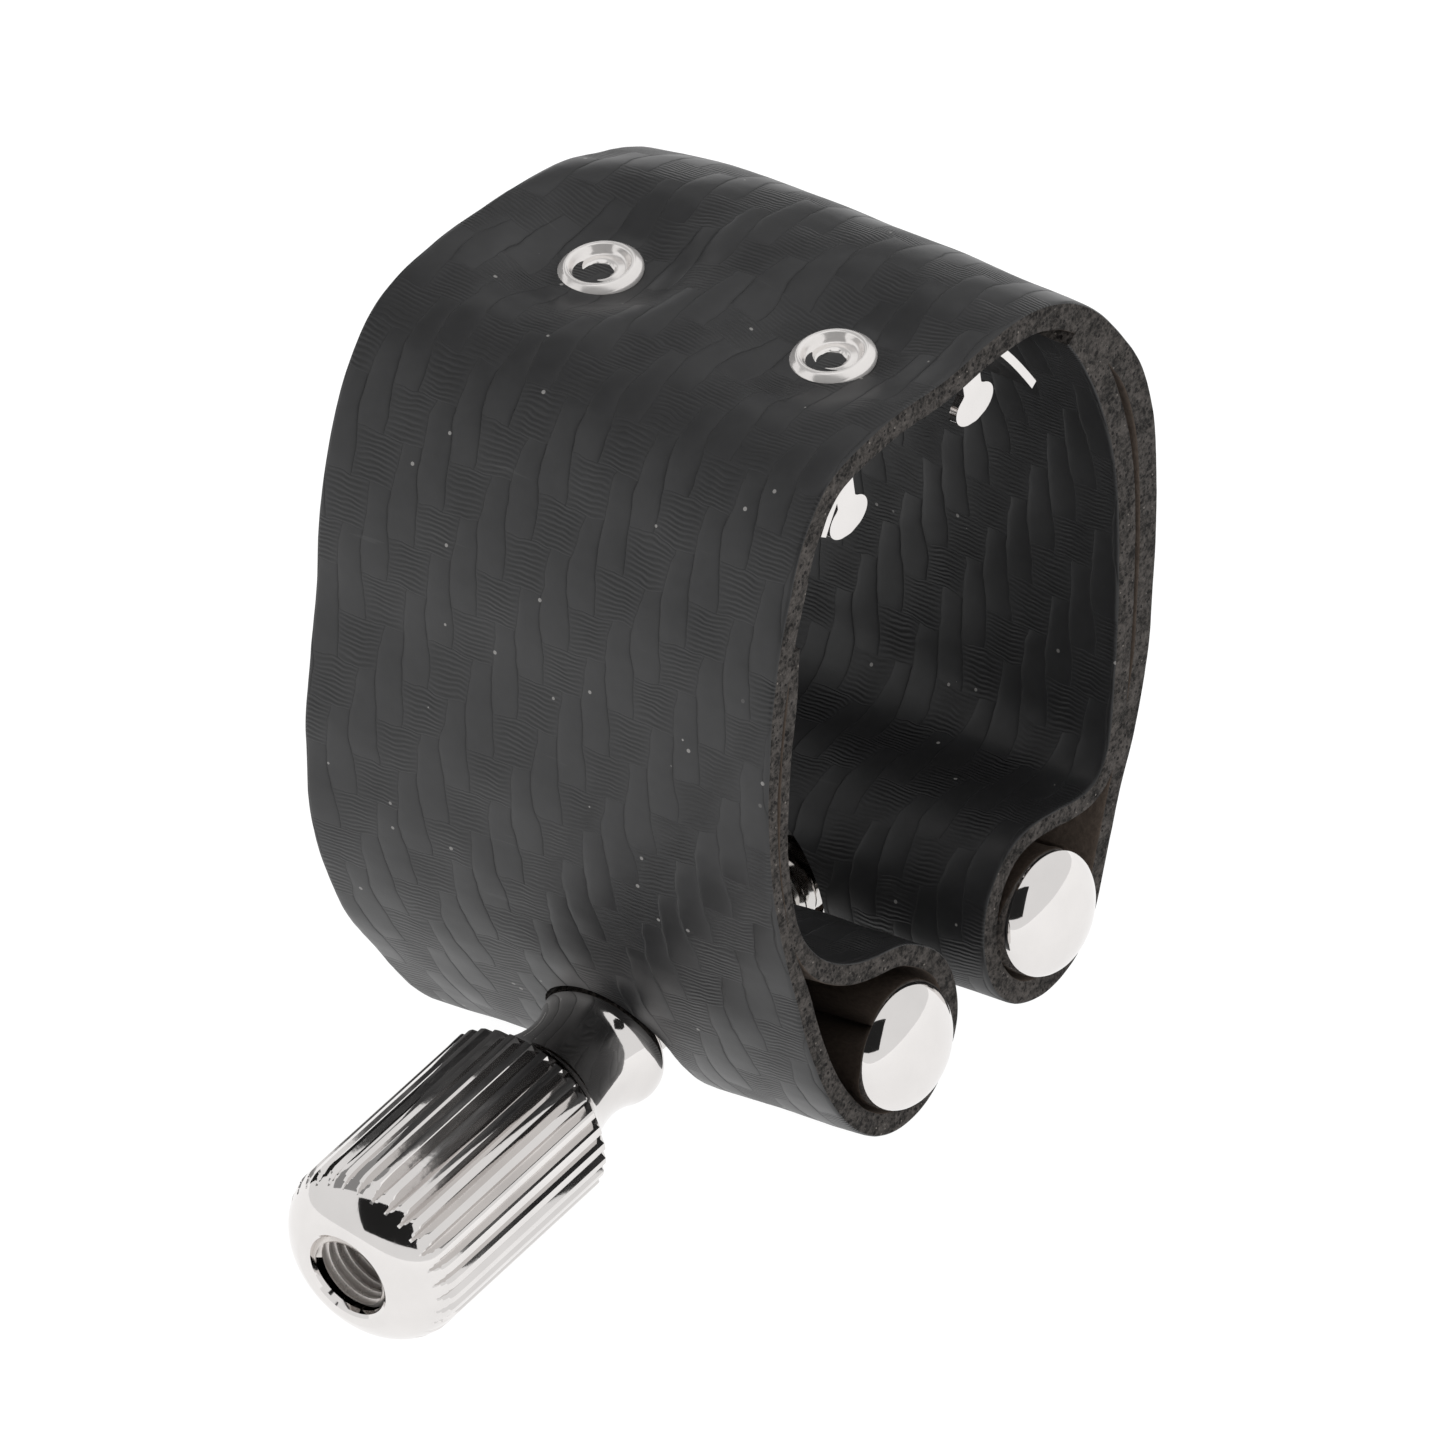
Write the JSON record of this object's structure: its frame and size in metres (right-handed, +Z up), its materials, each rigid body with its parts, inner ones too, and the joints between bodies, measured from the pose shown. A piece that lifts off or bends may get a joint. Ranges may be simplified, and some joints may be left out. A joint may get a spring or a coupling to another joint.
{
  "type": "saxophone ligature",
  "caption": "Leather strap clamp that holds a reed on a mouthpiece, with a reed plate, rivets, looped bars and a fluted thumb screw.",
  "frame": {"origin": "middle of the mouthpiece bore, halfway along it", "axes": "+Y along the bore towards the wide end of the mouthpiece, +Z up to the crown with its rivets, -X towards the thumb knob"},
  "size_m": [0.0458, 0.028, 0.0371],
  "materials": {
    "strap_leather": "satin, embossed",
    "plate_chrome": "polished",
    "hardware_chrome": "polished"
  },
  "bodies": {
    "crown": {"strap_crown": "strap_leather", "reed_plate": "plate_chrome", "rivet_front": "hardware_chrome", "rivet_back": "hardware_chrome"},
    "left_wing": {"strap_left_loop": "strap_leather"},
    "right_wing": {"strap_right_loop": "strap_leather"},
    "left_bar": {"left_bar": "hardware_chrome"},
    "right_bar": {"right_bar": "hardware_chrome"},
    "stud": {"screw_stud": "hardware_chrome"},
    "knob": {"thumb_knob": "hardware_chrome"}
  },
  "joints": [
    {"name": "left_wing_bend", "type": "hinge", "parent": "crown", "child": "left_wing", "pos_m": [-0.00955, 0, 0.01025], "axis": [0, -1, 0], "range_deg": [-1.08, 1.6]},
    {"name": "right_wing_bend", "type": "hinge", "parent": "crown", "child": "right_wing", "pos_m": [0.01095, 0, 0.01025], "axis": [0, 1, 0], "range_deg": [-1.08, 1.6]},
    {"name": "left_bar_swivel", "type": "hinge", "parent": "left_wing", "child": "left_bar", "pos_m": [-0.00777, 0, -0.01725], "axis": [0, 0.9947, -0.1028], "range_deg": [-0.277, 0.41]},
    {"name": "right_bar_swivel", "type": "hinge", "parent": "right_wing", "child": "right_bar", "pos_m": [0.00257, 0, -0.01725], "axis": [0, 0.9947, -0.1028], "range_deg": [-2.79, 1.88]},
    {"name": "screw_slide", "type": "slide", "parent": "left_bar", "child": "stud", "axis": [1, 0, 0], "range_m": [-0.00076, 0.00112]},
    {"name": "knob_turn", "type": "hinge", "parent": "stud", "child": "knob", "pos_m": [-0.0122, 0, -0.01725], "axis": [1, 0, 0], "range_deg": [-900, 1337]}
  ],
  "couplings": [
    {"joint": "left_wing_bend", "follows": "knob_turn", "ratio": 0.0011686},
    {"joint": "right_wing_bend", "follows": "knob_turn", "ratio": 0.0011686},
    {"joint": "left_bar_swivel", "follows": "knob_turn", "ratio": 0.00029674},
    {"joint": "right_bar_swivel", "follows": "knob_turn", "ratio": -0.0020405},
    {"joint": "screw_slide", "follows": "knob_turn", "m_per_rad": 0.000047134}
  ]
}
